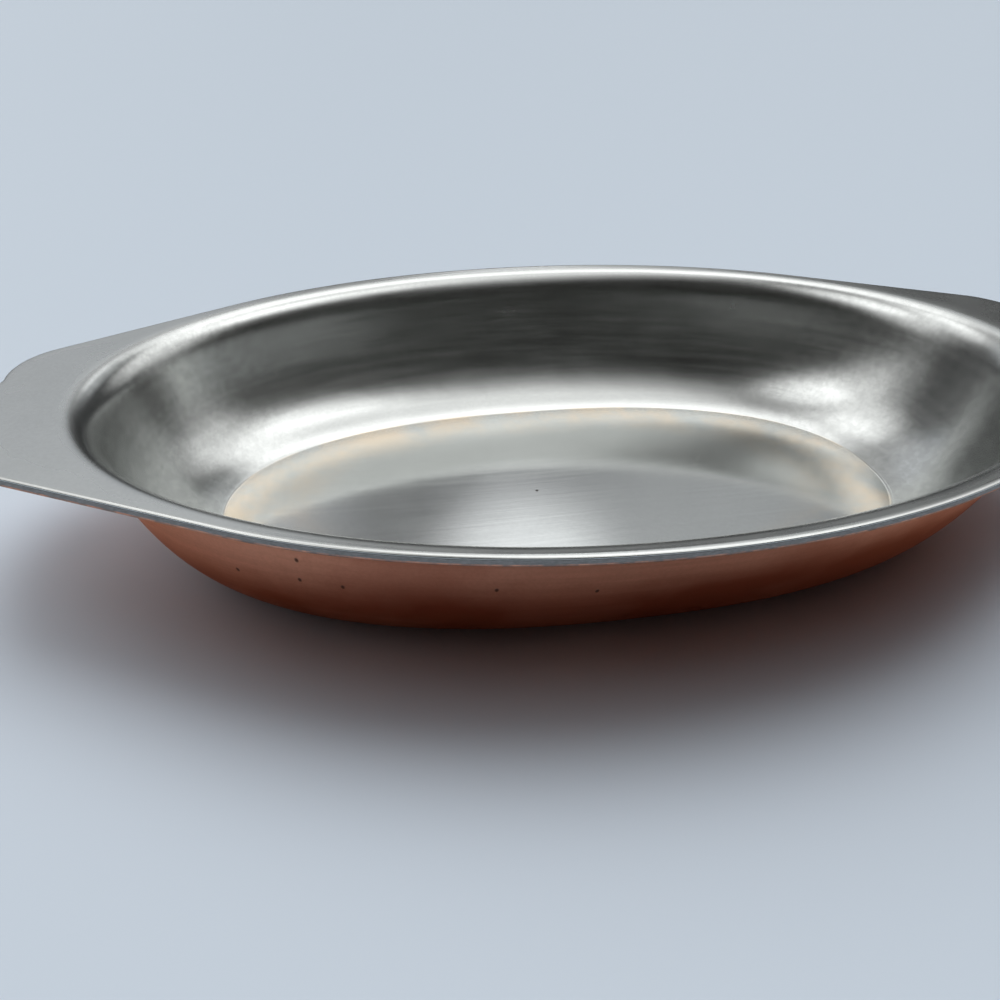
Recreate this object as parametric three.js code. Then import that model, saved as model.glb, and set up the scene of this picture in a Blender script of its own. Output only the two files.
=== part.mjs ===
// Oval flambe pan, pressed in one go from bonded three-layer sheet: steel inside, aluminium in the
// middle and copper outside. A narrow flange runs round the rim and widens into a flat ear at each end.
// Lengths are in millimetres. +Z is up, X runs along the pan, and the origin is under its middle.
import * as THREE from "three";

// Driving dimensions of the pan
const RIM_LENGTH = 240; // the flange's outer edge along X, without the ears
const RIM_WIDTH = 138; // the flange's outer edge along Y
const HEIGHT = 38; // from the resting face to the top of the flange
const WALL_RUN_SIDE = 25.4; // from the flange's outer edge in to the floor's crease, across the pan
const WALL_RUN_END = 33; // the same, along the pan
const FLOOR_SQUARENESS = 2.3; // superellipse exponent of the floor's outline, where 2 is an ellipse

// Sheet layers, from the inside out
const STEEL_THICKNESS = 0.5;
const CORE_THICKNESS = 1.0;
const COPPER_THICKNESS = 0.5;

// Wall section
const CREASE_ANGLE = 27; // degrees by which the wall leaves the floor at the crease
const WALL_ANGLE = 71; // degrees from level at the top of the wall
const COVE_PULL = 0.19; // reach of the cove at the foot of the wall, in wall chords
const WALL_PULL = 0.61; // reach of the straight upper wall, in wall chords
const BEND_ON_WALL_SIDE = 6.6; // how far the rim's bend reaches down the wall, across the pan
const BEND_ON_WALL_END = 8; // the same, along the pan
const BEND_ON_FLANGE_SIDE = 3; // how far the bend reaches into the flange, across the pan
const BEND_ON_FLANGE_END = 6; // the same, along the pan
const FLANGE_FLAT_SIDE = 2.2; // from the rim's ellipse in to the bend, across the pan
const FLANGE_FLAT_END = 2.8; // the same, along the pan
const FLANGE_FALL = 5; // degrees by which the flange falls inwards on the long sides
const EDGE_BREAK = 0.25; // softened top corner of the steel at the cut edge

// Ears
const EAR_REACH = 15; // from the rim's ellipse to the tip of the ear
const FLANK_ANGLE = 28.2; // degrees between an ear's straight flank and X
const SHOULDER_RADIUS = 16; // rounded corner between a flank and the ear's end
const TONGUE_REACH = 3.5; // how far the rounded tongue stands out from the ear's end
const TONGUE_RADIUS = 25;

// Fineness of the faceted surfaces
const WALL_STEPS = 5;
const BEND_STEPS = 4;
const TONGUE_STEPS = 2;
const EAR_END_STEPS = 1;
const SHOULDER_STEPS = 3;
const FLANK_STEPS = 4;
const RIM_STEPS = 11;

const SHEET = STEEL_THICKNESS + CORE_THICKNESS + COPPER_THICKNESS;
const ELLIPSE = 2;
const RIGHT_ANGLE = Math.PI / 2;
const { degToRad, lerp } = THREE.MathUtils;

// Distance from the middle to an ellipse or superellipse, in the direction of a polar angle
function ovalRadius(halfLength, halfWidth, exponent, angle) {
  const along = Math.abs(Math.cos(angle) / halfLength) ** exponent;
  const across = Math.abs(Math.sin(angle) / halfWidth) ** exponent;
  return (along + across) ** (-1 / exponent);
}

// Distance from the middle to the far side of a circle, or 0 where the direction misses it
function circleRadius(centre, radius, angle) {
  const along = centre.x * Math.cos(angle) + centre.y * Math.sin(angle);
  const chord = along ** 2 - centre.lengthSq() + radius ** 2;
  return chord < 0 ? 0 : along + Math.sqrt(chord);
}

// The ear in the quarter where X and Y are positive. Its flank is tangent to the rim's ellipse.
function earOutline() {
  const rim = new THREE.Vector2(RIM_LENGTH / 2, RIM_WIDTH / 2);
  const slope = Math.tan(degToRad(FLANK_ANGLE));
  const flankNormal = RIGHT_ANGLE - degToRad(FLANK_ANGLE);
  const flankHeight = Math.hypot(rim.x * slope, rim.y);
  const tip = rim.x + EAR_REACH;
  const end = tip - TONGUE_REACH;
  const tongueCentre = new THREE.Vector2(tip - TONGUE_RADIUS, 0);
  const tongueHalf = Math.sqrt(TONGUE_RADIUS ** 2 - (end - tongueCentre.x) ** 2);
  const shoulder = new THREE.Vector2(end - SHOULDER_RADIUS, flankHeight);
  shoulder.y -= slope * shoulder.x + SHOULDER_RADIUS / Math.sin(flankNormal);
  const shoulderTop = new THREE.Vector2(SHOULDER_RADIUS, 0);
  shoulderTop.rotateAround(new THREE.Vector2(), flankNormal).add(shoulder);
  return {
    end,
    tongueCentre,
    shoulder,
    flankNormal,
    flankDistance: flankHeight * Math.sin(flankNormal),
    tongueAngle: Math.atan2(tongueHalf, end),
    shoulderStart: Math.atan2(shoulder.y, end),
    shoulderEnd: shoulderTop.angle(),
    flankEnd: Math.atan2(rim.y ** 2, rim.x ** 2 * slope),
  };
}

const ear = earOutline();

// Distance from the middle to the pan's cut edge: the rim's ellipse, the ear and its tongue together
function edgeRadius(direction) {
  const angle = Math.asin(Math.abs(Math.sin(direction)));
  const rim = ovalRadius(RIM_LENGTH / 2, RIM_WIDTH / 2, ELLIPSE, angle);
  const tongue = circleRadius(ear.tongueCentre, TONGUE_RADIUS, angle);
  if (angle > ear.flankEnd) {
    return Math.max(rim, tongue);
  }
  if (angle > ear.shoulderStart && angle < ear.shoulderEnd) {
    return Math.max(rim, tongue, circleRadius(ear.shoulder, SHOULDER_RADIUS, angle));
  }
  const flank = ear.flankDistance / Math.cos(angle - ear.flankNormal);
  return Math.max(rim, tongue, Math.min(flank, ear.end / Math.cos(angle)));
}

// Polar angles of one quarter's columns, closest round the tongue and the shoulder
function quarterAngles() {
  const spans = [
    { end: ear.tongueAngle, steps: TONGUE_STEPS },
    { end: ear.shoulderStart, steps: EAR_END_STEPS },
    { end: ear.shoulderEnd, steps: SHOULDER_STEPS },
    { end: ear.flankEnd, steps: FLANK_STEPS },
    { end: RIGHT_ANGLE, steps: RIM_STEPS },
  ].sort((one, other) => one.end - other.end);
  const angles = [0];
  for (const { end, steps } of spans) {
    const start = angles.at(-1);
    for (let step = 1; step <= steps; step += 1) {
      angles.push(lerp(start, end, step / steps));
    }
  }
  return angles;
}

// Polar angles of the columns all the way round, mirrored from quarter to quarter
function roundAngles() {
  const quarter = quarterAngles();
  const rising = quarter.slice(0, -1);
  const falling = quarter.slice(1).reverse();
  return [0, Math.PI].flatMap((turn) => [
    ...rising.map((angle) => turn + angle),
    ...falling.map((angle) => turn + Math.PI - angle),
  ]);
}

// Half of the pan's section through one axis, from the floor's crease to the flange. Each point of the
// inside carries the step through the sheet there, so one curve serves every layer.
function sectionPoints({ rimHalf, wallRun, bendOnWall, bendOnFlange, flangeFlat, flangeFall }) {
  const creaseAngle = degToRad(CREASE_ANGLE);
  const wallAngle = degToRad(WALL_ANGLE);
  const fallAngle = degToRad(flangeFall);
  const ahead = (from, angle, reach) => new THREE.Vector2(
    from.x + reach * Math.cos(angle),
    from.y + reach * Math.sin(angle),
  );
  const crease = new THREE.Vector2(rimHalf - wallRun, SHEET);
  const flange = ahead(new THREE.Vector2(rimHalf, HEIGHT), fallAngle, -flangeFlat);
  const knee = ahead(flange, fallAngle, -bendOnFlange);
  const wallTop = ahead(knee, wallAngle, -bendOnWall);
  const chord = crease.distanceTo(wallTop);
  const bend = new THREE.QuadraticBezierCurve(wallTop, knee, flange);
  const wall = new THREE.CubicBezierCurve(
    crease,
    ahead(crease, creaseAngle, COVE_PULL * chord),
    ahead(wallTop, wallAngle, -WALL_PULL * chord),
    wallTop,
  );
  const points = [{ at: crease, through: new THREE.Vector2(Math.tan(creaseAngle / 2), -1) }];
  const addPoints = (curve, steps) => {
    for (let step = 1; step <= steps; step += 1) {
      const way = curve.getTangent(step / steps);
      points.push({ at: curve.getPoint(step / steps), through: new THREE.Vector2(way.y, -way.x) });
    }
  };
  addPoints(wall, WALL_STEPS);
  addPoints(bend, BEND_STEPS);
  return points;
}

const angles = roundAngles();
const sideSection = sectionPoints({
  rimHalf: RIM_WIDTH / 2,
  wallRun: WALL_RUN_SIDE,
  bendOnWall: BEND_ON_WALL_SIDE,
  bendOnFlange: BEND_ON_FLANGE_SIDE,
  flangeFlat: FLANGE_FLAT_SIDE,
  flangeFall: FLANGE_FALL,
});
const endSection = sectionPoints({
  rimHalf: RIM_LENGTH / 2,
  wallRun: WALL_RUN_END,
  bendOnWall: BEND_ON_WALL_END,
  bendOnFlange: BEND_ON_FLANGE_END,
  flangeFlat: FLANGE_FLAT_END,
  flangeFall: 0,
});

// Closed rings of points at one depth in the sheet, from the floor's crease out to the flange. Up the
// wall their outline eases from the floor's squarer oval to the rim's ellipse.
function ringsAtDepth(depth) {
  return sideSection.map((side, index) => {
    const across = side.at.clone().addScaledVector(side.through, depth);
    const along = endSection[index].at.clone().addScaledVector(endSection[index].through, depth);
    const eased = (side.at.y - SHEET) / (HEIGHT - SHEET);
    const exponent = lerp(FLOOR_SQUARENESS, ELLIPSE, eased);
    return angles.map((angle) => {
      const radius = ovalRadius(along.x, across.x, exponent, angle);
      const height = lerp(across.y, along.y, Math.cos(angle) ** 2);
      return new THREE.Vector3(radius * Math.cos(angle), radius * Math.sin(angle), height);
    });
  });
}

// Ring of points along the cut edge, drawn in from it by an inset, at one depth in the sheet
function edgeRing(depth, inset) {
  return angles.map((angle) => {
    const radius = edgeRadius(angle) - inset;
    return new THREE.Vector3(radius * Math.cos(angle), radius * Math.sin(angle), HEIGHT - depth);
  });
}

// Closed solid between an upper and a lower stack of rings, each running from the middle out to the
// edge. Both stacks cut their quads along the same diagonal, so layers that meet share faces exactly.
function closedLayer(upper, lower) {
  const columns = angles.length;
  const positions = [];
  const index = [];
  const addTriangle = (facesUp, a, b, c) => index.push(...(facesUp ? [a, b, c] : [a, c, b]));
  const addStack = (rings, facesUp) => {
    const middle = positions.length / 3;
    positions.push(0, 0, rings[0][0].z, ...rings.flat().flatMap((point) => point.toArray()));
    for (let column = 0; column < columns; column += 1) {
      const step = ((column + 1) % columns) - column;
      let inner = middle + 1 + column;
      addTriangle(facesUp, middle, inner, inner + step);
      for (let band = 1; band < rings.length; band += 1) {
        const outer = inner + columns;
        addTriangle(facesUp, inner, outer, inner + step);
        addTriangle(facesUp, inner + step, outer, outer + step);
        inner = outer;
      }
    }
    return positions.length / 3 - columns;
  };
  const upperEdge = addStack(upper, true);
  const lowerEdge = addStack(lower, false);
  for (let column = 0; column < columns; column += 1) {
    const next = (column + 1) % columns;
    addTriangle(true, upperEdge + column, lowerEdge + column, upperEdge + next);
    addTriangle(true, upperEdge + next, lowerEdge + column, lowerEdge + next);
  }
  const geometry = new THREE.BufferGeometry();
  geometry.setAttribute("position", new THREE.Float32BufferAttribute(positions, 3));
  geometry.setIndex(index);
  geometry.computeVertexNormals();
  return geometry;
}

// One layer of the sheet between two depths, trimmed flush with the others at the cut edge
function sheetLayer(name, top, bottom, edgeBreak, finish) {
  const softened = edgeBreak > 0 ? [edgeRing(top, edgeBreak)] : [];
  const upper = [...ringsAtDepth(top), ...softened, edgeRing(top + edgeBreak, 0)];
  const lower = [...ringsAtDepth(bottom), edgeRing(bottom, 0)];
  const layer = new THREE.Mesh(closedLayer(upper, lower), new THREE.MeshStandardMaterial(finish));
  layer.name = name;
  return layer;
}

const coreTop = STEEL_THICKNESS;
const copperTop = coreTop + CORE_THICKNESS;
const satinSteel = { color: 0xb4b5b2, roughness: 0.32, metalness: 1 };
const matteAluminium = { color: 0x9b9da0, roughness: 0.6, metalness: 1 };
const satinCopper = { color: 0xb5755f, roughness: 0.34, metalness: 1 };

const flambePan = new THREE.Group();
flambePan.add(
  sheetLayer("steel_liner", 0, coreTop, EDGE_BREAK, satinSteel),
  sheetLayer("aluminium_core", coreTop, copperTop, 0, matteAluminium),
  sheetLayer("copper_shell", copperTop, SHEET, 0, satinCopper),
);

export default flambePan;
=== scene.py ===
"""Looks of the oval flambe pan: bonded sheet of steel, aluminium and copper, dressed around its CAD solids.

Lengths are in metres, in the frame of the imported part: +Z is up, X runs along the pan, and the origin is
under its middle.
"""

from __future__ import annotations

import logging
import math
from dataclasses import dataclass, field
from enum import Enum

import bmesh
import bpy
import numpy as np
from mathutils import Matrix, Vector

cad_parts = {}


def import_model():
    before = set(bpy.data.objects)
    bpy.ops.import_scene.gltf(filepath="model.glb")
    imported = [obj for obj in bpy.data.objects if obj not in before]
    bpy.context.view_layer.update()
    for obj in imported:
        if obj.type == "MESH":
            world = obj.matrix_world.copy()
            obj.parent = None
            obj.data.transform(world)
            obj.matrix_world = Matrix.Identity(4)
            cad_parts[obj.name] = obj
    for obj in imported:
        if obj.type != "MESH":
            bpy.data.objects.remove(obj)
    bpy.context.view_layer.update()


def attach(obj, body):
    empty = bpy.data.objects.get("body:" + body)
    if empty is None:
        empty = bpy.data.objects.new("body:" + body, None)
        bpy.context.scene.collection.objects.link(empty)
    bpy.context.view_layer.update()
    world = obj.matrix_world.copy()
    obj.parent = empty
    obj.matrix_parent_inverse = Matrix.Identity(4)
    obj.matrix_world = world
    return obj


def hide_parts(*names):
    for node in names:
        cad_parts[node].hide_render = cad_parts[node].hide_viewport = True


LOG = logging.getLogger("flambe_pan")
BODY = "root"
MM = 0.001
FULL_TURN = 2 * math.pi
QUARTER_TURN = math.pi / 2
PATH_ATTRIBUTE = "sheet_path"
EDGE_ATTRIBUTE = "edge_nearness"
RING_ATTRIBUTE = "ring"
# Middle of a noise's values, and the share of a pit's radius that is dark all over
MIDDLE = 0.5
PIT_CORE = 0.4

Socket = bpy.types.NodeSocket
Range = tuple[float, float]
Triple = tuple[float, float, float]
Colour = tuple[float, float, float, float]


class Skin(Enum):
    """The two faces of a layer of the sheet."""

    UPPER = "upper"
    LOWER = "lower"


class Axis(Enum):
    """The two upright planes through the pan that its section is drawn in."""

    END = "end"
    SIDE = "side"


@dataclass(frozen=True)
class Profile:
    """Half of the inside's section in one plane, from the middle out to the level flange.

    Attributes:
        reach: Distances from the middle.
        height: Heights above the resting face.
        slope: Angles of the section to the level, in radians.
    """

    reach: np.ndarray
    height: np.ndarray
    slope: np.ndarray

    def at_depth(self, depth: float) -> tuple[np.ndarray, np.ndarray]:
        """Steps the section through the sheet.

        Args:
            depth: Distance below the inside face.

        Returns:
            Distances from the middle and heights at that depth.
        """
        reach = self.reach + depth * np.sin(self.slope)
        height = self.height - depth * np.cos(self.slope)
        return reach, height

    def path_length(self) -> np.ndarray:
        """Length along the section from the middle to each of its points."""
        steps = np.hypot(np.diff(self.reach), np.diff(self.height))
        return np.concatenate([[0.0], np.cumsum(steps)])


@dataclass(frozen=True)
class PressedForm:
    """Sizes of the pressed sheet, and the curves that every layer of it follows."""

    rim_length: float = 240 * MM
    rim_width: float = 138 * MM
    height: float = 38 * MM
    wall_run_side: float = 25.4 * MM
    wall_run_end: float = 33 * MM
    floor_squareness: float = 2.3
    sheet: float = 2 * MM
    crease_angle: float = math.radians(27)
    crease_blend: float = 0.7 * MM
    wall_angle: float = math.radians(71)
    cove_pull: float = 0.19
    wall_pull: float = 0.61
    bend_on_wall_side: float = 6.6 * MM
    bend_on_wall_end: float = 8 * MM
    bend_on_flange_side: float = 3 * MM
    bend_on_flange_end: float = 6 * MM
    flange_flat_side: float = 2.2 * MM
    flange_flat_end: float = 2.8 * MM
    flange_fall: float = math.radians(5)
    ear_reach: float = 15 * MM
    flank_angle: float = math.radians(28.2)
    shoulder_radius: float = 16 * MM
    tongue_reach: float = 3.5 * MM
    tongue_radius: float = 25 * MM
    tongue_fillet: float = 0.5 * MM
    columns: int = 480
    ear_crowding: float = 1.35
    floor_steps: int = 9
    crease_steps: int = 4
    wall_steps: int = 22
    bend_steps: int = 14
    flange_shares: tuple[float, ...] = (0.25, 0.5, 0.75, 0.92)

    def column_angles(self) -> np.ndarray:
        """Polar angles of the columns, closest together at the ears."""
        quarter = self.columns // 4
        share = np.arange(quarter + 1) / quarter
        rising = QUARTER_TURN * share**self.ear_crowding
        half = np.concatenate([rising[:-1], math.pi - rising[:0:-1]])
        return np.concatenate([half, half + math.pi])

    def oval_radius(self, length: float, width: float, exponent: float, angle: np.ndarray) -> np.ndarray:
        """Distance from the middle to an ellipse or superellipse.

        Args:
            length: Half of the oval's length.
            width: Half of the oval's width.
            exponent: 2 for an ellipse, more for a squarer oval.
            angle: Polar angles of the directions.

        Returns:
            One distance for each direction.
        """
        along = np.abs(np.cos(angle) / length) ** exponent
        across = np.abs(np.sin(angle) / width) ** exponent
        return (along + across) ** (-1 / exponent)

    def circle_radius(self, centre: tuple[float, float], radius: float, angle: np.ndarray) -> np.ndarray:
        """Distance from the middle to the far side of a circle, or 0 where a direction misses it.

        Args:
            centre: The circle's centre.
            radius: The circle's radius.
            angle: Polar angles of the directions.

        Returns:
            One distance for each direction.
        """
        along = centre[0] * np.cos(angle) + centre[1] * np.sin(angle)
        chord = along**2 - centre[0] ** 2 - centre[1] ** 2 + radius**2
        return np.where(chord < 0, 0, along + np.sqrt(np.maximum(chord, 0)))

    def edge_radius(self, direction: np.ndarray) -> np.ndarray:
        """Distance from the middle to the cut edge: the rim, the ears and their tongues.

        Args:
            direction: Polar angles of the directions.

        Returns:
            One distance for each direction.
        """
        angle = np.arcsin(np.abs(np.sin(direction)))
        rim_x = self.rim_length / 2
        rim_y = self.rim_width / 2
        slope = math.tan(self.flank_angle)
        normal = QUARTER_TURN - self.flank_angle
        flank_height = math.hypot(rim_x * slope, rim_y)
        tip = rim_x + self.ear_reach
        end = tip - self.tongue_reach
        shoulder_x = end - self.shoulder_radius
        shoulder_y = flank_height - slope * shoulder_x - self.shoulder_radius / math.sin(normal)
        top_x = shoulder_x + self.shoulder_radius * math.cos(normal)
        top_y = shoulder_y + self.shoulder_radius * math.sin(normal)
        shoulder_start = math.atan2(shoulder_y, end)
        shoulder_end = math.atan2(top_y, top_x)
        flank_end = math.atan2(rim_y**2, rim_x**2 * slope)
        rim = self.oval_radius(rim_x, rim_y, 2, angle)
        tongue = self.circle_radius((tip - self.tongue_radius, 0), self.tongue_radius, angle)
        flank = flank_height * math.sin(normal) / np.cos(angle - normal)
        body = np.minimum(flank, end / np.cos(np.minimum(angle, flank_end)))
        corner = self.circle_radius((shoulder_x, shoulder_y), self.shoulder_radius, angle)
        body = np.where((angle > shoulder_start) & (angle < shoulder_end), corner, body)
        body = np.where(angle > flank_end, 0, body)
        ear = self.filleted_union(tongue, body)
        return np.maximum(rim, ear)

    def filleted_union(self, one: np.ndarray, other: np.ndarray) -> np.ndarray:
        """Larger of two distances, with a small fillet where they cross.

        Args:
            one: Distances to one outline.
            other: Distances to the other.

        Returns:
            Distances to the outline round both.
        """
        gap = np.maximum(self.tongue_fillet - np.abs(one - other), 0) / self.tongue_fillet
        return np.maximum(one, other) + self.tongue_fillet * gap**2 / 4

    def profile(self, axis: Axis) -> Profile:
        """Draws the inside's section in one plane.

        Args:
            axis: The plane.

        Returns:
            The section from the middle to the level flange.
        """
        at_end = axis is Axis.END
        rim_half = (self.rim_length if at_end else self.rim_width) / 2
        wall_run = self.wall_run_end if at_end else self.wall_run_side
        flange_flat = self.flange_flat_end if at_end else self.flange_flat_side
        bend_on_flange = self.bend_on_flange_end if at_end else self.bend_on_flange_side
        bend_on_wall = self.bend_on_wall_end if at_end else self.bend_on_wall_side
        foot_way = np.array([math.cos(self.crease_angle), math.sin(self.crease_angle)])
        top_way = np.array([math.cos(self.wall_angle), math.sin(self.wall_angle)])
        crease = np.array([rim_half - wall_run, self.sheet])
        fall = 0.0 if at_end else self.flange_fall
        flange_way = np.array([math.cos(fall), math.sin(fall)])
        flange = np.array([rim_half, self.height]) - flange_flat * flange_way
        knee = flange - bend_on_flange * flange_way
        top = knee - bend_on_wall * top_way
        chord = float(np.hypot(*(top - crease)))
        handles = np.array([
            crease,
            crease + self.cove_pull * chord * foot_way,
            top - self.wall_pull * chord * top_way,
            top,
        ])
        start = self.crease_blend / (3 * self.cove_pull * chord)
        wall, wall_slope = self.bezier(handles, np.linspace(start, 1, self.wall_steps + 1))
        corner = np.array([crease - [self.crease_blend, 0], crease, wall[0]])
        blend, blend_slope = self.bezier(corner, np.linspace(0, 1, self.crease_steps + 1)[:-1])
        floor = np.linspace(0, corner[0], self.floor_steps + 1)[:-1]
        floor[:, 1] = self.sheet
        bend_share = np.linspace(0, 1, self.bend_steps + 1)[1:]
        bend, bend_slope = self.bezier(np.array([top, knee, flange]), bend_share)
        points = np.vstack([floor, blend, wall, bend])
        slope = np.concatenate([np.zeros(len(floor)), blend_slope, wall_slope, bend_slope])
        return Profile(points[:, 0], points[:, 1], slope)

    def bezier(self, handles: np.ndarray, share: np.ndarray) -> tuple[np.ndarray, np.ndarray]:
        """Points and slopes along a Bezier curve.

        Args:
            handles: The curve's handles, from first to last.
            share: Places along the curve, from 0 to 1.

        Returns:
            The points, and the slope at each, in radians.
        """
        level = [np.tile(handle, (len(share), 1)) for handle in handles]
        part = share[:, None]
        while len(level) > 2:
            level = [one * (1 - part) + other * part for one, other in zip(level, level[1:])]
        way = level[1] - level[0]
        return level[0] + part * way, np.arctan2(way[:, 1], way[:, 0])

    def sheet_rings(self, depth: float) -> tuple[np.ndarray, np.ndarray]:
        """Rings of points at one depth in the sheet, from the middle to the end of the rim's bend.

        Args:
            depth: Distance below the inside face.

        Returns:
            Points by ring and column, and each ring's length along the section.
        """
        end = self.profile(Axis.END)
        side = self.profile(Axis.SIDE)
        end_reach, end_height = end.at_depth(depth)
        side_reach, side_height = side.at_depth(depth)
        angle = self.column_angles()
        eased = (side.height - self.sheet) / (self.height - self.sheet)
        exponent = self.floor_squareness + (2 - self.floor_squareness) * eased
        rings = []
        for ring in range(len(end_reach)):
            radius = np.zeros(self.columns)
            if end_reach[ring] > 0:
                radius = self.oval_radius(end_reach[ring], side_reach[ring], exponent[ring], angle)
            share = np.cos(angle) ** 2
            height = end_height[ring] * share + side_height[ring] * (1 - share)
            rings.append(np.column_stack([radius * np.cos(angle), radius * np.sin(angle), height]))
        return np.array(rings), side.path_length()

    def flange_start(self) -> float:
        """Length along the section at which the level flange begins."""
        return float(self.profile(Axis.SIDE).path_length()[-1])

    def edge_ring(self, depth: float, inset: float) -> np.ndarray:
        """Ring of points along the cut edge.

        Args:
            depth: Distance below the inside face.
            inset: Distance by which the ring is drawn in from the edge.

        Returns:
            One point for each column.
        """
        angle = self.column_angles()
        radius = self.edge_radius(angle) - inset
        height = np.full(self.columns, self.height - depth)
        return np.column_stack([radius * np.cos(angle), radius * np.sin(angle), height])


@dataclass(frozen=True)
class Cloud:
    """Cloudy noise.

    Attributes:
        scale: Cells in a unit of the coordinates.
        detail: Number of finer octaves.
        roughness: Strength of the finer octaves.
    """

    scale: float
    detail: float
    roughness: float


class ShaderBench:
    """Adds nodes and links to one node tree."""

    def __init__(self, tree: bpy.types.NodeTree) -> None:
        """Keeps the tree that the nodes go into."""
        self.tree = tree

    def node(self, kind: str, **settings: object) -> bpy.types.Node:
        """Adds a node.

        Args:
            kind: The node's type name.
            **settings: The node's own properties.

        Returns:
            The new node.
        """
        made = self.tree.nodes.new(kind)
        for name, value in settings.items():
            setattr(made, name, value)
        return made

    def find(self, kind: str) -> bpy.types.Node:
        """The first node of one type that the tree already has."""
        return next(node for node in self.tree.nodes if node.type == kind)

    def feed(self, socket: Socket, value: object) -> None:
        """Links a socket to another, or sets its own value.

        Args:
            socket: The input.
            value: An output to link, or a number, vector or colour.
        """
        if isinstance(value, Socket):
            self.tree.links.new(value, socket)
            return
        socket.default_value = value

    def place(self) -> Socket:
        """Object coordinates of the surface."""
        return self.node("ShaderNodeTexCoord").outputs["Object"]

    def attribute(self, name: str, output: str) -> Socket:
        """One of the mesh's own attributes, from the output of that name."""
        return self.node("ShaderNodeAttribute", attribute_name=name).outputs[output]

    def part(self, vector: Socket, letter: str) -> Socket:
        """One component of a vector."""
        split = self.node("ShaderNodeSeparateXYZ")
        self.feed(split.inputs[0], vector)
        return split.outputs[letter]

    def maths(self, operation: str, one: object, other: object = 0.0, clamp: bool = False) -> Socket:
        """Calculates with two values.

        Args:
            operation: The Math node's operation.
            one: First value or output.
            other: Second value or output.
            clamp: Whether the result is kept between 0 and 1.

        Returns:
            The result's output.
        """
        made = self.node("ShaderNodeMath", operation=operation, use_clamp=clamp)
        self.feed(made.inputs[0], one)
        self.feed(made.inputs[1], other)
        return made.outputs[0]

    def vectors(self, operation: str, one: object, other: object, output: str = "Vector") -> Socket:
        """Calculates with two vectors.

        Args:
            operation: The Vector Math node's operation.
            one: First vector or output.
            other: Second vector or output.
            output: Name of the result's output.

        Returns:
            The result's output.
        """
        made = self.node("ShaderNodeVectorMath", operation=operation)
        self.feed(made.inputs[0], one)
        self.feed(made.inputs[1], other)
        return made.outputs[output]

    def product(self, one: object, other: object, *more: object) -> Socket:
        """Multiplies values together.

        Args:
            one: First value or output.
            other: Second value or output.
            *more: Further values or outputs.

        Returns:
            The product's output.
        """
        result = self.maths("MULTIPLY", one, other)
        for value in more:
            result = self.maths("MULTIPLY", result, value)
        return result

    def inverse(self, value: object) -> Socket:
        """1 less the value."""
        return self.maths("SUBTRACT", 1.0, value)

    def swing(self, value: object, strength: float) -> Socket:
        """Turns a value between 0 and 1 into one that swings about 0."""
        return self.product(self.maths("SUBTRACT", value, MIDDLE), strength)

    def noise(self, vector: object, cloud: Cloud) -> Socket:
        """Cloudy noise.

        Args:
            vector: Coordinates.
            cloud: The noise's make-up.

        Returns:
            The noise's value, around 0.5.
        """
        made = self.node("ShaderNodeTexNoise")
        self.feed(made.inputs["Vector"], vector)
        self.feed(made.inputs["Scale"], cloud.scale)
        self.feed(made.inputs["Detail"], cloud.detail)
        self.feed(made.inputs["Roughness"], cloud.roughness)
        return made.outputs["Fac"]

    def span(
        self,
        value: object,
        low: object,
        high: object,
        start: object = 0.0,
        end: object = 1.0,
        soft: bool = True,
    ) -> Socket:
        """Maps a range of a value to another, clamped at both ends.

        Args:
            value: The value.
            low: Where the range begins.
            high: Where it ends.
            start: Result at the beginning.
            end: Result at the end.
            soft: Whether the change eases in and out.

        Returns:
            The mapped value's output.
        """
        made = self.node("ShaderNodeMapRange", interpolation_type="SMOOTHSTEP" if soft else "LINEAR")
        names = ("Value", "From Min", "From Max", "To Min", "To Max")
        for name, given in zip(names, (value, low, high, start, end)):
            self.feed(made.inputs[name], given)
        return made.outputs["Result"]

    def blend(self, share: object, one: object, other: object, way: str = "MIX") -> Socket:
        """Mixes two colours.

        Args:
            share: Share of the second colour.
            one: First colour or output.
            other: Second colour or output.
            way: The Mix node's blend type.

        Returns:
            The mixed colour's output.
        """
        made = self.node("ShaderNodeMix", data_type="RGBA", blend_type=way)
        self.feed(made.inputs["Factor"], share)
        for name, value in (("A", one), ("B", other)):
            socket = next(s for s in made.inputs if s.name == name and s.type == "RGBA")
            self.feed(socket, value)
        return next(s for s in made.outputs if s.type == "RGBA")

    def lerp(self, share: object, one: object, other: object) -> Socket:
        """Goes from one value to another as a share goes from 0 to 1."""
        return self.span(share, 0.0, 1.0, one, other, soft=False)

    def bump(self, height: object, depth: float, normal: Socket | None = None) -> Socket:
        """Raises the surface by a height map.

        Args:
            height: The height map, from 0 to 1.
            depth: Height of 1, in metres.
            normal: The normal to start from.

        Returns:
            The bumped normal.
        """
        made = self.node("ShaderNodeBump")
        made.inputs["Distance"].default_value = depth
        self.feed(made.inputs["Height"], height)
        if normal is not None:
            self.feed(made.inputs["Normal"], normal)
        return made.outputs["Normal"]

    def group(self, tree: bpy.types.NodeTree, **inputs: object) -> bpy.types.NodeOutputs:
        """Places a node group.

        Args:
            tree: The group's tree.
            **inputs: Values for its inputs, by name.

        Returns:
            The group's outputs.
        """
        made = self.node("ShaderNodeGroup", node_tree=tree)
        for name, value in inputs.items():
            self.feed(made.inputs[name], value)
        return made.outputs


def open_material(name: str) -> tuple[bpy.types.Material, ShaderBench, bpy.types.Node]:
    """Opens a material.

    Args:
        name: The material's name.

    Returns:
        The material, a bench on its nodes, and its shader.
    """
    material = bpy.data.materials.new(name)
    material.use_nodes = True
    bench = ShaderBench(material.node_tree)
    return material, bench, bench.find("BSDF_PRINCIPLED")


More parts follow.
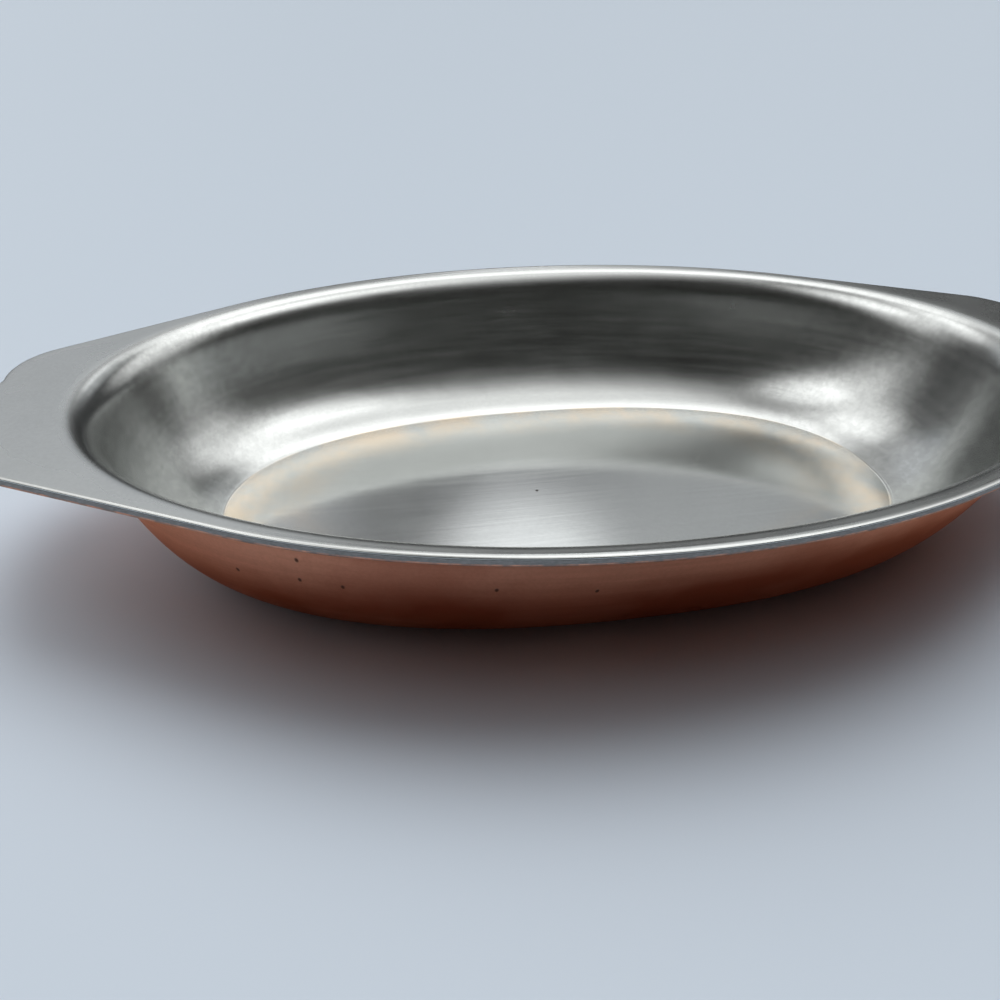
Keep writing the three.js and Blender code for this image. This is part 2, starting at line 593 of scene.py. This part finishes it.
class SharedEffects:
    """Surface effects of the finishes, each built once as a node group."""

    GRAIN: Cloud = Cloud(1.0, 2.0, 0.65)
    GRAIN_RANGE: Range = (0.28, 0.72)
    RUB: Cloud = Cloud(420.0, 3.0, 0.6)
    RUB_RANGE: Range = (0.3, 0.7)
    RUB_LEAST: float = 0.35

    def __init__(self) -> None:
        """Builds every group."""
        self.grain = self.build_grain()
        self.pits = self.build_pits()
        self.rub = self.build_rub()

    def start(
        self, name: str, vectors: tuple[str, ...], values: tuple[str, ...], output: str
    ) -> tuple[ShaderBench, dict[str, Socket], Socket]:
        """Opens a group with named sockets.

        Args:
            name: The group's name.
            vectors: Names of its vector inputs.
            values: Names of its other inputs.
            output: Name of the value that it puts out.

        Returns:
            A bench on the group, its inputs by name, and the socket of its output.
        """
        tree = bpy.data.node_groups.new(name, "ShaderNodeTree")
        for label in vectors:
            tree.interface.new_socket(name=label, in_out="INPUT", socket_type="NodeSocketVector")
        for label in values:
            tree.interface.new_socket(name=label, in_out="INPUT", socket_type="NodeSocketFloat")
        tree.interface.new_socket(name=output, in_out="OUTPUT", socket_type="NodeSocketFloat")
        bench = ShaderBench(tree)
        entry = bench.node("NodeGroupInput").outputs
        leave = bench.node("NodeGroupOutput").inputs
        return bench, {s.name: s for s in entry if s.name}, leave[output]

    def build_grain(self) -> bpy.types.NodeTree:
        """Fine grain that may be drawn out into brush lines."""
        bench, given, grain = self.start("Satin grain", ("Vector", "Stretch"), (), "Grain")
        drawn = bench.vectors("MULTIPLY", given["Vector"], given["Stretch"])
        cloud = bench.noise(drawn, self.GRAIN)
        bench.feed(grain, bench.span(cloud, *self.GRAIN_RANGE, soft=False))
        return bench.tree

    def build_pits(self) -> bpy.types.NodeTree:
        """Small scattered pits, as a mask."""
        values = ("Scale", "Size", "Share")
        bench, given, pit = self.start("Scattered pits", ("Vector",), values, "Pit")
        cells = bench.node("ShaderNodeTexVoronoi", feature="F1")
        bench.feed(cells.inputs["Vector"], given["Vector"])
        bench.feed(cells.inputs["Scale"], given["Scale"])
        chance = bench.part(cells.outputs["Color"], "X")
        width = bench.product(given["Size"], bench.part(cells.outputs["Color"], "Y"))
        inner = bench.product(width, PIT_CORE)
        spot = bench.span(cells.outputs["Distance"], inner, width, 1.0, 0.0)
        picked = bench.maths("LESS_THAN", chance, given["Share"])
        bench.feed(pit, bench.product(spot, picked))
        return bench.tree

    def build_rub(self) -> bpy.types.NodeTree:
        """Metal rubbed dull along a cut edge, broken up by noise."""
        bench, given, rub = self.start("Rubbed edge", ("Vector",), ("Nearness", "Amount"), "Rub")
        broken = bench.span(bench.noise(given["Vector"], self.RUB), *self.RUB_RANGE)
        worn = bench.product(given["Nearness"], bench.lerp(broken, self.RUB_LEAST, 1.0))
        bench.feed(rub, bench.maths("MULTIPLY", worn, given["Amount"], clamp=True))
        return bench.tree


@dataclass(frozen=True)
class Finish:
    """What every metal of the sheet has: a name and the shader that it ends in."""

    label: str

    def start(self) -> tuple[bpy.types.Material, ShaderBench, bpy.types.Node]:
        """Opens a metal material.

        Returns:
            The material, a bench on its nodes, and its shader.
        """
        material, bench, shader = open_material(self.label)
        shader.inputs["Metallic"].default_value = 1.0
        return material, bench, shader

    def material(self, effects: SharedEffects, form: PressedForm) -> bpy.types.Material:
        """Makes the material; each finish has its own."""
        raise NotImplementedError


@dataclass(frozen=True)
class SatinSteel(Finish):
    """Brushed stainless inside: lines along the floor, satin walls, worn ends, straw beside the crease."""

    label: str = "satin_steel"
    colour: Colour = (0.603, 0.618, 0.607, 1)
    dull_colour: Colour = (0.523, 0.538, 0.527, 1)
    straw: Colour = (0.72, 0.612, 0.487, 1)
    pit_colour: Colour = (0.12, 0.11, 0.10, 1)
    floor_roughness: float = 0.125
    wall_roughness: float = 0.24
    flange_roughness: float = 0.28
    floor_blend: float = 0.4 * MM
    flange_blend: float = 3 * MM
    brush_stretch: Triple = (16, 750, 16)
    rim_stretch: Triple = (22, 22, 620)
    line_roughness: float = 0.05
    line_shade: float = 0.35
    line_depth: float = 0.002 * MM
    cloud: Cloud = Cloud(55.0, 4.0, 0.6)
    cloud_roughness: float = 0.07
    dulling: Cloud = Cloud(24.0, 4.0, 0.55)
    dulling_range: Range = (0.35, 0.65)
    fleck_stretch: Triple = (1300, 1300, 1300)
    fleck_shade: float = 0.45
    wear: Cloud = Cloud(430.0, 3.0, 0.6)
    wear_range: Range = (0.36, 0.64)
    wear_shade: float = 0.055
    wear_start: float = 55 * MM
    wear_full: float = 85 * MM
    straw_width: float = 16 * MM
    straw_margin: float = 2 * MM
    straw_range: Range = (0.3, 0.7)
    dents: Cloud = Cloud(38.0, 2.0, 0.5)
    dent_depth: float = 0.16 * MM
    scuffs: Cloud = Cloud(210.0, 2.0, 0.5)
    scuff_depth: float = 0.02 * MM
    floor_pit: Triple = (-6.5 * MM, 2.2 * MM, 2 * MM)
    floor_pit_radius: float = 0.55 * MM

    def material(self, effects: SharedEffects, form: PressedForm) -> bpy.types.Material:
        """Makes the steel.

        Args:
            effects: The shared node groups.
            form: The pan's form, for where the floor ends and the flange starts.

        Returns:
            The material.
        """
        material, bench, shader = self.start()
        place = bench.place()
        path = bench.attribute(PATH_ATTRIBUTE, "Vector")
        climb = bench.part(path, "Z")
        crease = form.rim_width / 2 - form.wall_run_side
        flange = form.flange_start()
        on_floor = bench.span(climb, crease - self.floor_blend, crease + self.floor_blend, 1.0, 0.0)
        on_flange = bench.span(climb, flange - self.flange_blend, flange)
        on_wall = bench.inverse(bench.maths("MAXIMUM", on_floor, on_flange))
        brush = bench.group(effects.grain, Vector=place, Stretch=self.brush_stretch)["Grain"]
        drawn = bench.group(effects.grain, Vector=path, Stretch=self.rim_stretch)["Grain"]
        lines = bench.lerp(on_floor, drawn, brush)
        cloud = bench.noise(place, self.cloud)

        rough = bench.lerp(on_floor, self.wall_roughness, self.floor_roughness)
        rough = bench.lerp(on_flange, rough, self.flange_roughness)
        rough = bench.maths("ADD", rough, bench.swing(lines, self.line_roughness))
        rough = bench.maths("ADD", rough, bench.swing(cloud, self.cloud_roughness))
        bench.feed(shader.inputs["Roughness"], rough)

        dull = bench.span(bench.noise(place, self.dulling), *self.dulling_range)
        flecks = bench.group(effects.grain, Vector=place, Stretch=self.fleck_stretch)["Grain"]
        dull = bench.lerp(self.line_shade, dull, lines)
        dull = bench.lerp(self.fleck_shade, dull, flecks)
        shade = bench.blend(dull, self.colour, self.dull_colour)
        to_end = bench.maths("ABSOLUTE", bench.part(place, "X"))
        at_end = bench.span(to_end, self.wear_start, self.wear_full)
        wear = bench.span(bench.noise(place, self.wear), *self.wear_range, -1.0, 1.0)
        wear = bench.product(wear, at_end, on_wall, self.wear_shade)
        shade = bench.vectors("MULTIPLY", shade, bench.inverse(wear))
        near_crease = bench.span(climb, crease - self.straw_width, crease - self.straw_margin)
        patchy = bench.span(cloud, *self.straw_range)
        shade = bench.blend(bench.product(near_crease, on_floor, patchy), shade, self.straw)
        away = bench.vectors("DISTANCE", place, self.floor_pit, "Value")
        pit = bench.span(away, self.floor_pit_radius * PIT_CORE, self.floor_pit_radius, 1.0, 0.0)
        shade = bench.blend(pit, shade, self.pit_colour)
        bench.feed(shader.inputs["Base Color"], shade)

        dents = bench.product(bench.noise(place, self.dents), on_wall)
        scuffs = bench.product(bench.noise(place, self.scuffs), on_wall)
        normal = bench.bump(dents, self.dent_depth)
        normal = bench.bump(scuffs, self.scuff_depth, normal)
        normal = bench.bump(lines, self.line_depth, normal)
        bench.feed(shader.inputs["Normal"], normal)
        return material


@dataclass(frozen=True)
class CutAluminium(Finish):
    """Sawn and filed edge of the aluminium core, with a painted shadow along its top where it meets the
    steel.
    """

    label: str = "cut_aluminium"
    colour: Colour = (0.31, 0.307, 0.303, 1)
    dark: Colour = (0.22, 0.217, 0.214, 1)
    roughness: float = 0.55
    roughness_swing: float = 0.1
    file_stretch: Triple = (900, 900, 3500)
    file_depth: float = 0.02 * MM
    # Painted shadow: a strip of the core's top, this far below the inside face, is darkened to stand in for
    # the shade in the seam under the steel.
    seam_depth: float = 0.5 * MM
    seam_shadow_width: float = 0.2 * MM
    seam_shadow_shade: float = 0.35

    def material(self, effects: SharedEffects, form: PressedForm) -> bpy.types.Material:
        """Makes the aluminium.

        Args:
            effects: The shared node groups.
            form: The pan's form.

        Returns:
            The material.
        """
        material, bench, shader = self.start()
        place = bench.place()
        filed = bench.group(effects.grain, Vector=place, Stretch=self.file_stretch)["Grain"]
        # Painted shadow: darkens the top strip of the cut edge, at the seam under the steel.
        below_seam = bench.maths("SUBTRACT", form.height - self.seam_depth, bench.part(place, "Z"))
        shade = bench.lerp(bench.span(below_seam, 0.0, self.seam_shadow_width), self.seam_shadow_shade, 1.0)
        cut = bench.blend(filed, self.dark, self.colour)
        bench.feed(shader.inputs["Base Color"], bench.vectors("MULTIPLY", cut, shade))
        dullest = self.roughness + self.roughness_swing
        brightest = self.roughness - self.roughness_swing
        bench.feed(shader.inputs["Roughness"], bench.lerp(filed, dullest, brightest))
        bench.feed(shader.inputs["Normal"], bench.bump(filed, self.file_depth))
        return material


@dataclass(frozen=True)
class SatinCopper(Finish):
    """Copper outside, gone satin with use: lines along the rim, patchy brown film, painted shade toward the
    foot and the +X end, pits.
    """

    label: str = "satin_copper"
    colour: Colour = (0.96, 0.48, 0.325, 1)
    # Colour of the real patchy brown film, also used for the painted shade toward the foot and the +X end.
    film_and_shade: Colour = (0.42, 0.11, 0.06, 1)
    pit_colour: Colour = (0.07, 0.035, 0.025, 1)
    rubbed: Colour = (0.20, 0.183, 0.175, 1)
    grazing: Colour = (0.97, 0.66, 0.50, 1)
    roughness: float = 0.36
    line_stretch: Triple = (14, 14, 520)
    line_roughness: float = 0.03
    line_shade: float = 0.22
    line_depth: float = 0.002 * MM
    fleck_stretch: Triple = (1300, 1300, 1300)
    fleck_shade: float = 0.16
    # Painted shade: the copper browns toward the foot between these heights, and more toward the +X end by
    # this lean, standing in for the shadowed table that the lower copper mirrors.
    foot_shade_top: float = 31 * MM
    foot_shade_bottom: float = 16 * MM
    shade_lean: float = 0.05
    foot_shade_share: float = 0.95
    film_roughness: float = 0.02
    patches: Cloud = Cloud(30.0, 4.0, 0.55)
    patch_range: Range = (0.30, 0.75)
    patch_film: Range = (-0.25, 0.35)
    rub_amount: float = 1.0
    pit_places: tuple[Triple, ...] = (
        (-80.2 * MM, -41.8 * MM, 21.2 * MM),
        (-60.7 * MM, -51.4 * MM, 22.3 * MM),
        (-33.2 * MM, -58.9 * MM, 24.4 * MM),
        (-14.4 * MM, -60.3 * MM, 22.9 * MM),
        (-68.7 * MM, -50.2 * MM, 28.8 * MM),
        (-68.5 * MM, -48.4 * MM, 22.6 * MM),
    )
    pit_radius: float = 0.95 * MM
    pit_narrowing: Triple = (1.9, 1.9, 1.0)
    pit_shade: float = 0.85
    pit_depth: float = 0.06 * MM
    scatter_scale: float = 80.0
    scatter_size: float = 0.06
    scatter_share: float = 0.16

    def pitted(self, bench: ShaderBench, effects: SharedEffects, place: Socket) -> Socket:
        """Mask of the pits: some at chosen places, the rest scattered.

        Args:
            bench: Bench on the material's nodes.
            effects: The shared node groups.
            place: The point on the copper.

        Returns:
            1 in a pit, 0 elsewhere.
        """
        pit = bench.group(
            effects.pits,
            Vector=place,
            Scale=self.scatter_scale,
            Size=self.scatter_size,
            Share=self.scatter_share,
        )["Pit"]
        narrowed = bench.vectors("MULTIPLY", place, self.pit_narrowing)
        for spot in self.pit_places:
            centre = tuple(along * narrow for along, narrow in zip(spot, self.pit_narrowing))
            away = bench.vectors("DISTANCE", narrowed, centre, "Value")
            mark = bench.span(away, self.pit_radius * PIT_CORE, self.pit_radius, 1.0, 0.0)
            pit = bench.maths("MAXIMUM", pit, mark)
        return pit

    def material(self, effects: SharedEffects, form: PressedForm) -> bpy.types.Material:
        """Makes the copper.

        Args:
            effects: The shared node groups.
            form: The pan's form; not used.

        Returns:
            The material.
        """
        material, bench, shader = self.start()
        place = bench.place()
        path = bench.attribute(PATH_ATTRIBUTE, "Vector")
        shader.inputs["Specular Tint"].default_value = self.grazing
        lines = bench.group(effects.grain, Vector=path, Stretch=self.line_stretch)["Grain"]
        flecks = bench.group(effects.grain, Vector=place, Stretch=self.fleck_stretch)["Grain"]
        # Painted shade toward the foot and the +X end, plus the film's own random patches.
        lean = bench.product(bench.part(place, "X"), self.shade_lean)
        clear = bench.maths("SUBTRACT", bench.part(place, "Z"), lean)
        low = bench.span(clear, self.foot_shade_bottom, self.foot_shade_top, 1.0, 0.0)
        patchy = bench.span(bench.noise(place, self.patches), *self.patch_range, *self.patch_film)
        filmed_and_shaded = bench.maths("ADD", bench.product(low, self.foot_shade_share), patchy, clamp=True)
        pit = self.pitted(bench, effects, place)

        # Lays on the brown colour: painted shade toward the foot and the +X end, and the real film patches.
        shade = bench.blend(filmed_and_shaded, self.colour, self.film_and_shade)
        shade = bench.blend(bench.product(lines, self.line_shade), shade, self.film_and_shade)
        shade = bench.blend(bench.product(flecks, self.fleck_shade), shade, self.film_and_shade)
        nearness = bench.attribute(EDGE_ATTRIBUTE, "Fac")
        rub = bench.group(effects.rub, Nearness=nearness, Vector=place, Amount=self.rub_amount)["Rub"]
        shade = bench.blend(rub, shade, self.rubbed)
        shade = bench.blend(bench.product(pit, self.pit_shade), shade, self.pit_colour)
        bench.feed(shader.inputs["Base Color"], shade)

        rough = bench.lerp(filmed_and_shaded, self.roughness, self.roughness + self.film_roughness)
        rough = bench.maths("ADD", rough, bench.product(lines, self.line_roughness))
        bench.feed(shader.inputs["Roughness"], rough)

        normal = bench.bump(bench.inverse(pit), self.pit_depth)
        normal = bench.bump(lines, self.line_depth, normal)
        bench.feed(shader.inputs["Normal"], normal)
        return material


@dataclass(frozen=True)
class EdgeBreak:
    """Softened corner of one layer at the cut edge.

    Attributes:
        run: How far in from the edge it starts.
        drop: How far into the sheet it reaches.
        fullness: How far it bulges from a straight chamfer, at 0, toward a square corner, at 1.
        steps: Number of steps along it.
    """

    run: float
    drop: float
    fullness: float = 0.4
    steps: int = 8

    def steps_down(self) -> list[tuple[float, float]]:
        """Distances in from the edge and into the sheet, from the level face to the edge."""
        places = []
        for share in np.linspace(0, 1, self.steps + 1):
            middle = share * (1 - share) * (1 - self.fullness)
            places.append((self.run * ((1 - share) ** 2 + middle), self.drop * (share**2 + middle)))
        return places


@dataclass
class SheetLayer:
    """One layer of the bonded sheet, from the middle of the floor to the cut edge."""

    name: str
    node: str
    slot: str
    top: float
    bottom: float
    finish: Finish
    top_break: EdgeBreak | None = None
    bottom_break: EdgeBreak | None = None
    path_radius: float = 100 * MM
    edge_reach: float = 0.5 * MM
    smooth_angle: float = math.radians(35)
    merge_distance: float = 0.0001 * MM

    def stack(self, form: PressedForm, skin: Skin) -> tuple[np.ndarray, np.ndarray, np.ndarray]:
        """Rings of one face of the layer, from the middle to the cut edge.

        Args:
            form: The pan's form.
            skin: The face.

        Returns:
            Points by ring and column, each ring's length along the section, and its nearness to the edge.
        """
        upper = skin is Skin.UPPER
        depth = self.top if upper else self.bottom
        edge_break = self.top_break if upper else self.bottom_break
        inward = 1 if upper else -1
        rings, path = form.sheet_rings(depth)
        edge = []
        edge_path = []
        for inset, drop in edge_break.steps_down() if edge_break else [(0.0, 0.0)]:
            edge.append(form.edge_ring(depth + inward * drop, inset))
            edge_path.append(path[-1] + form.flange_flat_side - inset)
        flange = [rings[-1] * (1 - share) + edge[0] * share for share in form.flange_shares]
        flange_run = edge_path[0] - path[-1]
        flange_path = [path[-1] + share * flange_run for share in form.flange_shares]
        points = np.concatenate([rings, flange, edge])
        to_edge = np.linalg.norm(points[:, :, :2] - edge[-1][None, :, :2], axis=2)
        path = np.concatenate([path, flange_path, edge_path])
        return points, path, np.exp(-to_edge / self.edge_reach)

    def build(self, form: PressedForm) -> bpy.types.Object:
        """Turns the layer's section into a closed bowl and presses it to the pan's oval.

        Args:
            form: The pan's form.

        Returns:
            The finished mesh object.
        """
        above, above_path, above_edge = self.stack(form, Skin.UPPER)
        below, below_path, below_edge = self.stack(form, Skin.LOWER)
        points = np.concatenate([above, below[::-1]])
        path = np.concatenate([above_path, below_path[::-1]])
        nearness = np.concatenate([above_edge, below_edge[::-1]])
        obj = self.turn_section(points[:, 0], form.columns)
        self.press(obj, form, points, path, nearness)
        return obj

    def turn_section(self, section: np.ndarray, columns: int) -> bpy.types.Object:
        """Turns a section that starts and ends on the pan's axis, as on a lathe.

        Args:
            section: Points of the section, in order.
            columns: Number of steps in the turn.

        Returns:
            A closed round mesh whose vertices carry the number of their ring.
        """
        bpy.ops.object.select_all(action="DESELECT")
        bpy.ops.mesh.primitive_circle_add(vertices=len(section), fill_type="NOTHING")
        obj = bpy.context.object
        obj.name = self.name
        mesh = obj.data
        mesh.name = self.name
        mesh.vertices.foreach_set("co", section.astype(np.float32).ravel())
        ring = mesh.attributes.new(RING_ATTRIBUTE, "INT", "POINT")
        ring.data.foreach_set("value", np.arange(len(section), dtype=np.int32))
        bpy.ops.object.mode_set(mode="EDIT")
        bpy.ops.mesh.select_mode(type="EDGE")
        bpy.ops.mesh.select_all(action="DESELECT")
        shape = bmesh.from_edit_mesh(mesh)
        last = len(section) - 1
        for edge in shape.edges:
            edge.select = {vertex.index for vertex in edge.verts} == {0, last}
        bmesh.update_edit_mesh(mesh)
        bpy.ops.mesh.delete(type="EDGE")
        bpy.ops.object.mode_set(mode="OBJECT")
        lathe = obj.modifiers.new("lathe", "SCREW")
        lathe.axis = "Z"
        lathe.angle = FULL_TURN
        lathe.steps = columns
        lathe.render_steps = columns
        bpy.ops.object.modifier_apply(modifier=lathe.name)
        bpy.ops.object.mode_set(mode="EDIT")
        bpy.ops.mesh.select_mode(type="VERT")
        bpy.ops.mesh.select_all(action="SELECT")
        bpy.ops.mesh.remove_doubles(threshold=self.merge_distance)
        bpy.ops.mesh.normals_make_consistent(inside=False)
        bpy.ops.object.mode_set(mode="OBJECT")
        return obj

    def press(
        self,
        obj: bpy.types.Object,
        form: PressedForm,
        points: np.ndarray,
        path: np.ndarray,
        nearness: np.ndarray,
    ) -> None:
        """Moves every vertex of the turned bowl to its place on the pan and notes where on the sheet it is.

        Args:
            obj: The turned bowl.
            form: The pan's form.
            points: Places by ring and column.
            path: Length along the section of each ring.
            nearness: Nearness to the cut edge, by ring and column.
        """
        mesh = obj.data
        count = len(mesh.vertices)
        round_place = np.empty(count * 3, dtype=np.float32)
        mesh.vertices.foreach_get("co", round_place)
        round_place = round_place.reshape(-1, 3)
        ring = np.empty(count, dtype=np.int32)
        mesh.attributes[RING_ATTRIBUTE].data.foreach_get("value", ring)
        turn = np.arctan2(round_place[:, 1], round_place[:, 0])
        column = np.rint(turn / FULL_TURN * form.columns).astype(int) % form.columns
        place = points[ring, column]
        mesh.vertices.foreach_set("co", place.astype(np.float32).ravel())
        angle = form.column_angles()[column]
        along = np.column_stack([
            self.path_radius * np.cos(angle),
            self.path_radius * np.sin(angle),
            path[ring],
        ])
        mesh.attributes.remove(mesh.attributes[RING_ATTRIBUTE])
        flow = mesh.attributes.new(PATH_ATTRIBUTE, "FLOAT_VECTOR", "POINT")
        flow.data.foreach_set("vector", along.astype(np.float32).ravel())
        edge = mesh.attributes.new(EDGE_ATTRIBUTE, "FLOAT", "POINT")
        edge.data.foreach_set("value", nearness[ring, column].astype(np.float32))
        mesh.update()
        bpy.ops.object.shade_smooth_by_angle(angle=self.smooth_angle)

    def dress(self, obj: bpy.types.Object, effects: SharedEffects, form: PressedForm) -> None:
        """Gives the layer its finish and puts it in its CAD node's place.

        Args:
            obj: The layer's mesh object.
            effects: The shared node groups.
            form: The pan's form.
        """
        obj.data.materials.clear()
        obj.data.materials.append(self.finish.material(effects, form))
        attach(obj, BODY)
        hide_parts(self.node)


@dataclass
class FlambePan:
    """The whole pan: three layers of one pressed sheet."""

    form: PressedForm = field(default_factory=PressedForm)
    steel: float = 0.5 * MM
    core: float = 1.0 * MM
    steel_break: EdgeBreak = EdgeBreak(1.0 * MM, 0.45 * MM, fullness=0.8)
    copper_break: EdgeBreak = EdgeBreak(0.15 * MM, 0.15 * MM)

    def layers(self) -> list[SheetLayer]:
        """The layers, from the inside out."""
        core_top = self.steel
        copper_top = self.steel + self.core
        return [
            SheetLayer(
                name="steel_inside",
                node="steel_liner",
                slot="liner_steel",
                top=0.0,
                bottom=core_top,
                finish=SatinSteel(),
                top_break=self.steel_break,
            ),
            SheetLayer(
                name="aluminium_middle",
                node="aluminium_core",
                slot="core_aluminium",
                top=core_top,
                bottom=copper_top,
                finish=CutAluminium(),
            ),
            SheetLayer(
                name="copper_outside",
                node="copper_shell",
                slot="shell_copper",
                top=copper_top,
                bottom=self.form.sheet,
                finish=SatinCopper(),
                bottom_break=self.copper_break,
            ),
        ]

    def build(self) -> None:
        """Builds and dresses every layer."""
        effects = SharedEffects()
        for layer in self.layers():
            obj = layer.build(self.form)
            layer.dress(obj, effects, self.form)
            LOG.info("%s: %d faces", obj.name, len(obj.data.polygons))


def grey(brightness: float) -> Colour:
    """Light of one brightness in red, green and blue."""
    return (brightness, brightness, brightness, 1)


@dataclass(frozen=True)
class SoftGlow:
    """A soft bright patch of the studio's room, seen from the table.

    Attributes:
        azimuth: Degrees to the right of straight ahead, which is over the pan's far side.
        elevation: Degrees above the table.
        inner: Degrees from its middle within which it is fully bright.
        outer: Degrees from its middle at which it has faded out.
        colour: Its light.
    """

    azimuth: float
    elevation: float
    inner: float
    outer: float
    colour: Colour

    def direction(self) -> Triple:
        """Unit vector toward the patch."""
        around = math.radians(self.azimuth)
        above = math.radians(self.elevation)
        return (math.sin(around) * math.cos(above), math.cos(around) * math.cos(above), math.sin(above))

    def add_to(self, bench: ShaderBench, way: Socket, room: object) -> Socket:
        """Adds the patch's light to the room's.

        Args:
            bench: Bench on the world's nodes.
            way: Direction that the room is seen in.
            room: Light of the room so far.

        Returns:
            Light of the room with the patch.
        """
        facing = bench.vectors("DOT_PRODUCT", way, self.direction(), "Value")
        outer = math.cos(math.radians(self.outer))
        inner = math.cos(math.radians(self.inner))
        return bench.blend(bench.span(facing, outer, inner), room, self.colour, "ADD")


@dataclass(frozen=True)
class PhotoCamera:
    """Camera at the photograph's viewing angle."""

    place: Triple = (-65.4 * MM, -168.6 * MM, 124.7 * MM)
    yaw: float = math.radians(-9.72)
    pitch: float = math.radians(35.33)
    roll: float = math.radians(0.58)
    lens: float = 29.80
    sensor: float = 36.0
    shift: Range = (0.0749, 0.0008)
    nearest: float = 10 * MM

    def add(self) -> None:
        """Sets the camera up and makes it the scene's own."""
        data = bpy.data.cameras.new("photo_camera")
        data.lens = self.lens
        data.sensor_width = self.sensor
        data.shift_x, data.shift_y = self.shift
        data.clip_start = self.nearest
        obj = bpy.data.objects.new("photo_camera", data)
        bpy.context.scene.collection.objects.link(obj)
        ahead = Vector((
            -math.sin(self.yaw) * math.cos(self.pitch),
            math.cos(self.yaw) * math.cos(self.pitch),
            -math.sin(self.pitch),
        ))
        level = Vector((math.cos(self.yaw), math.sin(self.yaw), 0))
        upright = level.cross(ahead)
        right = math.cos(self.roll) * level + math.sin(self.roll) * upright
        up = math.cos(self.roll) * upright - math.sin(self.roll) * level
        turned = Matrix((right, up, -ahead)).transposed()
        obj.matrix_world = Matrix.Translation(self.place) @ turned.to_4x4()
        bpy.context.scene.camera = obj


@dataclass
class Studio:
    """Pale table, soft light panels, dim room and camera."""

    floor_size: float = 12.0
    floor_colour: Colour = (0.62, 0.70, 0.79, 1)
    floor_roughness: float = 0.55
    floor_gloss: float = 0.1
    room_front: Colour = (0.02, 0.02, 0.018, 1)
    room_back: Colour = (0.02, 0.021, 0.022, 1)
    room_fade: Range = (-0.5, 0.6)
    backdrop: Colour = (0.80, 0.82, 0.84, 1)
    lamps: tuple[SoftGlow, ...] = (
        SoftGlow(20, 66, 6, 26, grey(4.15)),
        SoftGlow(0, 85, 6, 34, grey(0.98)),
        SoftGlow(-35, 40, 6, 30, grey(1.93)),
        SoftGlow(35, 40, 6, 30, grey(0.91)),
        SoftGlow(-60, 18, 6, 40, grey(0.91)),
    )
    panels: tuple[SoftGlow, ...] = (
        SoftGlow(108, 60, 16, 34, grey(0.92)),
        SoftGlow(95, 38, 8, 30, grey(0.83)),
        SoftGlow(70, 24, 6, 18, grey(0.58)),
        SoftGlow(130, 42, 6, 16, grey(1.15)),
        SoftGlow(156, 57, 8, 23, grey(0.45)),
        SoftGlow(95, 14, 6, 20, grey(0.29)),
        SoftGlow(-108, 62, 12, 36, grey(0.15)),
        SoftGlow(-125, 58, 14, 26, grey(0.25)),
        SoftGlow(-130, 48, 6, 22, grey(1.10)),
        SoftGlow(-108, 36, 8, 24, grey(0.71)),
        SoftGlow(-90, 28, 8, 22, grey(0.32)),
        SoftGlow(-65, 54, 8, 24, grey(1.03)),
        SoftGlow(45, 72, 12, 26, grey(1.08)),
        SoftGlow(-50, 70, 10, 24, grey(0.58)),
        SoftGlow(-12, 55, 12, 36, grey(0.18)),
        SoftGlow(-18, 28, 10, 22, (0.44, 0.46, 0.49, 1)),
        SoftGlow(18.5, 41, 2, 8, (1.00, 1.01, 1.03, 1)),
        SoftGlow(6, 38, 5, 14, (0.12, 0.123, 0.13, 1)),
        SoftGlow(28, 34, 7, 15, (0.22, 0.225, 0.235, 1)),
        SoftGlow(38, 42, 8, 18, (0.30, 0.31, 0.315, 1)),
    )

    def add_floor(self) -> None:
        """Lays the pale table top."""
        bpy.ops.object.select_all(action="DESELECT")
        bpy.ops.mesh.primitive_plane_add(size=self.floor_size)
        floor = bpy.context.object
        floor.name = "table_top"
        material, bench, shader = open_material("pale_table")
        bench.feed(shader.inputs["Base Color"], self.floor_colour)
        bench.feed(shader.inputs["Roughness"], self.floor_roughness)
        bench.feed(shader.inputs["Specular IOR Level"], self.floor_gloss)
        floor.data.materials.append(material)

    def add_room(self) -> None:
        """Lights the table with soft lamps, and gives the metal a dim room with panels to mirror."""
        world = bpy.data.worlds.new("room")
        bpy.context.scene.world = world
        world.use_nodes = True
        bench = ShaderBench(world.node_tree)
        sky = bench.find("BACKGROUND")
        way = bench.node("ShaderNodeTexCoord").outputs["Generated"]
        ahead = bench.part(way, "Y")
        room = bench.blend(bench.span(ahead, *self.room_fade), self.room_front, self.room_back)
        lit = room
        for lamp in self.lamps:
            lit = lamp.add_to(bench, way, lit)
        for panel in self.panels:
            room = panel.add_to(bench, way, room)
        ray = bench.node("ShaderNodeLightPath").outputs
        mirrored = bench.maths("MAXIMUM", ray["Is Glossy Ray"], ray["Is Transmission Ray"])
        light = bench.blend(mirrored, lit, room)
        bench.feed(sky.inputs["Color"], bench.blend(ray["Is Camera Ray"], light, self.backdrop))

    def build(self) -> None:
        """Builds the studio."""
        bpy.context.scene.view_settings.view_transform = "Standard"
        self.add_floor()
        self.add_room()
        PhotoCamera().add()


def main() -> None:
    """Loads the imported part, dresses it, and sets the scene."""
    logging.basicConfig(level=logging.INFO, format="%(name)s: %(message)s")
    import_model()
    FlambePan().build()
    Studio().build()


if __name__ == "__main__":
    main()
